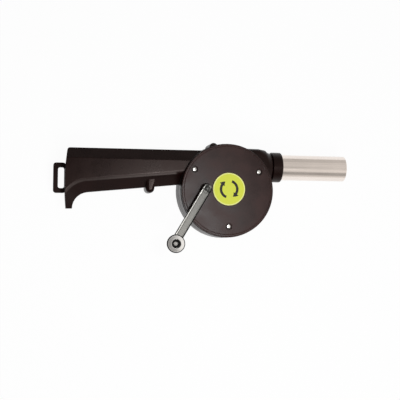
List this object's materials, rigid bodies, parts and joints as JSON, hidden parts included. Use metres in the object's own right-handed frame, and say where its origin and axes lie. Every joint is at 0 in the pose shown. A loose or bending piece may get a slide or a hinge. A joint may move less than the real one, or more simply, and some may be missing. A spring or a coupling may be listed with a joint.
{
  "type": "manual barbecue blower",
  "caption": "Hand-cranked barbecue blower: round fan drum with a geared crank, straight pistol-style handle with a strap loop, and a steel nozzle tube.",
  "frame": {"origin": "on the fan's axis, on the flat back face of the drum that the blower lies on", "axes": "+X along the nozzle, +Z along the fan and crank axes towards the crank, +Y up when the blower is held by its handle"},
  "size_m": [0.2877, 0.1063, 0.052],
  "materials": {
    "black_plastic": "satin moulded black plastic",
    "cover_plastic": "finely grained dark grey-brown moulded plastic",
    "label": "yellow-green printed film, with no text",
    "tube_steel": "bright drawn steel tube",
    "crank_metal": "satin silver-grey metal",
    "screw_steel": "bright nickel plating",
    "shaft_steel": "plain ground steel",
    "bronze": "sintered bronze bush",
    "gear_plastic": "natural acetal",
    "impeller_plastic": "satin black plastic"
  },
  "bodies": {
    "housing": {"rear_housing": "black_plastic", "front_housing": "black_plastic", "gear_cover": "cover_plastic", "cover_label": "label", "cover_screw_1": "screw_steel", "cover_screw_2": "screw_steel", "cover_screw_3": "screw_steel", "housing_screw_1": "screw_steel", "housing_screw_2": "screw_steel", "housing_screw_3": "screw_steel", "housing_screw_4": "screw_steel", "housing_screw_5": "screw_steel", "nozzle_collar": "black_plastic", "nozzle_tube": "tube_steel", "crank_bush": "black_plastic", "idler_axle": "shaft_steel", "fan_bush_rear": "bronze", "fan_bush_front": "bronze"},
    "crank": {"crank_shaft": "shaft_steel", "crank_gear": "gear_plastic", "crank_washer": "screw_steel", "crank_arm": "crank_metal", "crank_screw": "screw_steel", "knob_washer": "screw_steel", "knob_rivet": "screw_steel"},
    "knob": {"crank_knob": "crank_metal"},
    "idler": {"idler_gear": "gear_plastic"},
    "fan": {"fan_pinion": "gear_plastic", "fan_shaft": "shaft_steel", "fan_washer": "screw_steel", "fan_clip": "screw_steel", "impeller": "impeller_plastic"}
  },
  "joints": [
    {"name": "crank_spin", "type": "hinge", "parent": "housing", "child": "crank", "pos_m": [-0.0215, 0.001, 0.0395], "axis": [0, 0, 1], "continuous": true},
    {"name": "knob_spin", "type": "hinge", "parent": "crank", "child": "knob", "pos_m": [-0.05231, -0.0513, 0.047], "axis": [0, 0, 1], "continuous": true},
    {"name": "idler_spin", "type": "hinge", "parent": "housing", "child": "idler", "pos_m": [-0.01151, -0.01586, 0.025], "axis": [0, 0, 1], "continuous": true},
    {"name": "fan_spin", "type": "hinge", "parent": "housing", "child": "fan", "pos_m": [0, 0, 0.015], "axis": [0, 0, 1], "continuous": true}
  ],
  "couplings": [
    {"joint": "idler_spin", "follows": "crank_spin", "ratio": -3.4545},
    {"joint": "fan_spin", "follows": "crank_spin", "ratio": 11.934}
  ]
}
